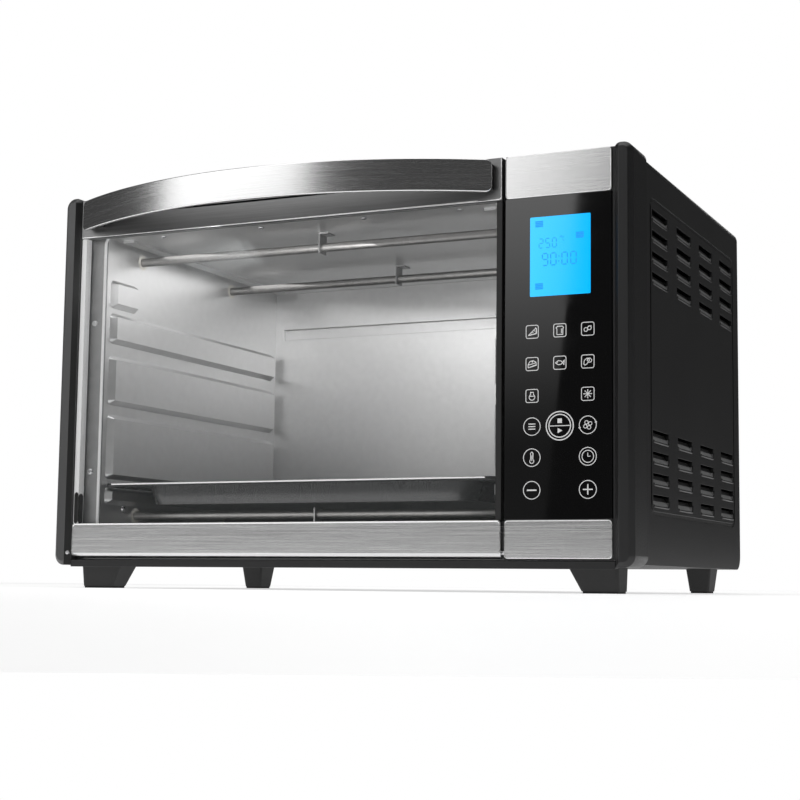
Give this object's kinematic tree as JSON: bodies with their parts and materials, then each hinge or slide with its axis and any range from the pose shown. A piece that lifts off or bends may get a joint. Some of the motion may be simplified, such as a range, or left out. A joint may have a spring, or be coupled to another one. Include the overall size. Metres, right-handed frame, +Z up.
{
  "type": "toaster oven",
  "caption": "Countertop toaster oven with a drop-down glass door, bowed metal handle, touch control panel with display, louvred sides and a baking tray.",
  "frame": {"origin": "on the counter, centre of the oven's plan box, level with the undersides of the foot pads", "axes": "+X to the oven's right as seen from the front (along the width), -Y out of the door, +Z up"},
  "size_m": [0.48, 0.3674, 0.3147],
  "materials": {
    "cabinet_steel": "semi-matt charcoal paint",
    "rear_steel": "matt dark paint",
    "trim_black": "satin black",
    "trim_grey": "satin dark grey",
    "foot_plastic": "matt black",
    "foot_rubber": "matt",
    "screw_steel": "zinc plated",
    "cavity_steel": "galvanised, reflective",
    "frame_steel": "galvanised sheet",
    "heater_sheath": "satin sheath",
    "ceramic": "unglazed ceramic; stands in for ceramic",
    "brushed_silver": "fine horizontal brushing, bright edges",
    "dark_satin_metal": "dark satin brushing",
    "panel_glass": "back-printed black glass, glossy",
    "display_lens": "back-lit cyan display",
    "circuit_board": "green solder mask",
    "sensor_metal": "satin",
    "motor_steel": "laminated steel",
    "fan_aluminium": "pressed",
    "door_glass": "clear tempered",
    "door_strip_black": "satin black",
    "tray_metal": "dark enamel on steel sheet"
  },
  "bodies": {
    "oven_body": {"cabinet_wrap": "cabinet_steel", "rear_panel": "rear_steel", "rear_screws": "screw_steel", "base_pan": "rear_steel", "front_foot_left": "foot_plastic", "front_foot_right": "foot_plastic", "rear_foot_left": "foot_plastic", "rear_foot_right": "foot_plastic", "foot_pads": "foot_rubber", "foot_screws": "screw_steel", "left_trim": "trim_grey", "right_trim": "trim_black", "front_bottom_rail": "trim_black", "top_front_rail": "trim_black", "face_frame": "frame_steel", "cavity_left_wall": "cavity_steel", "cavity_right_wall": "cavity_steel", "cavity_ceiling": "cavity_steel", "cavity_floor": "cavity_steel", "cavity_back": "cavity_steel", "upper_front_heater": "heater_sheath", "upper_rear_heater": "heater_sheath", "lower_front_heater": "heater_sheath", "lower_rear_heater": "heater_sheath", "heater_insulators": "ceramic", "heater_clips": "frame_steel", "flange_screws": "screw_steel", "upper_panel_trim": "brushed_silver", "lower_panel_trim": "brushed_silver", "control_glass": "panel_glass", "panel_frame": "trim_black", "display_module": "display_lens", "touch_board": "circuit_board", "power_board": "circuit_board", "temperature_probe": "sensor_metal", "thermal_fuse": "sensor_metal", "fan_housing": "frame_steel", "motor_bracket": "frame_steel", "fan_motor": "motor_steel", "cable_gland": "foot_plastic"},
    "door": {"door_glass": "door_glass", "door_bottom_trim": "brushed_silver", "door_top_bar": "dark_satin_metal", "door_left_strip": "door_strip_black", "door_right_strip": "door_strip_black", "handle_band": "brushed_silver", "handle_mounts": "door_strip_black", "handle_screws": "screw_steel", "hinge_pins": "screw_steel", "door_stop_arms": "frame_steel"},
    "fan": {"fan_impeller": "fan_aluminium", "fan_shaft": "sensor_metal"},
    "tray": {"bake_tray": "tray_metal"}
  },
  "joints": [
    {"name": "door_hinge", "type": "hinge", "parent": "oven_body", "child": "door", "pos_m": [0, -0.1263, 0.0276], "axis": [1, 0, 0], "range_deg": [0, 80]},
    {"name": "fan_spin", "type": "hinge", "parent": "oven_body", "child": "fan", "pos_m": [0.142, 0.0159, 0.165], "axis": [1, 0, 0], "continuous": true},
    {"name": "tray_slide", "type": "slide", "parent": "oven_body", "child": "tray", "axis": [0, -1, 0], "range_m": [0, 0.0635]}
  ],
  "couplings": [
    {"joint": "tray_slide", "follows": "door_hinge", "m_per_rad": 0.045}
  ]
}
